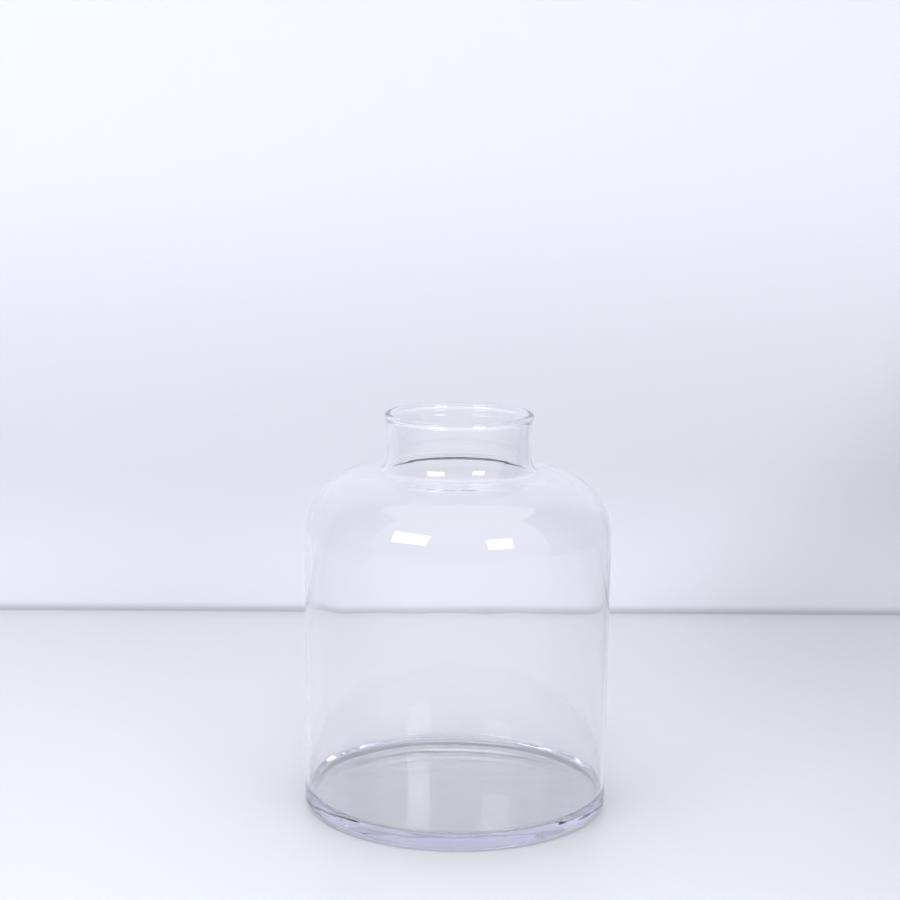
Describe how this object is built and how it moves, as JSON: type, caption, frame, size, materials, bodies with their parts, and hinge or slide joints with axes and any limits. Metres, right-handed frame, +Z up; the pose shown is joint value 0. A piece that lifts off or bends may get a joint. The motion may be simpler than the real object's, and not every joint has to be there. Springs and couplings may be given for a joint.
{
  "type": "glass vase",
  "caption": "Clear glass flower vase: wide cylindrical body, broad rounded shoulder, short narrow neck with a fire-polished lip, thick base with a shallow punt.",
  "frame": {"origin": "centre of the circle that the vase stands on, at the height of the bearing ring", "axes": "+Z up along the axis of turning, from the base to the lip; X and Y are any two directions across"},
  "size_m": [0.19, 0.19, 0.247],
  "materials": {
    "clear_glass": "clear blown glass, fire-polished, faint cool lilac tint where it is thick"
  },
  "bodies": {
    "root": {"glass_vase": "clear_glass"}
  },
  "joints": []
}
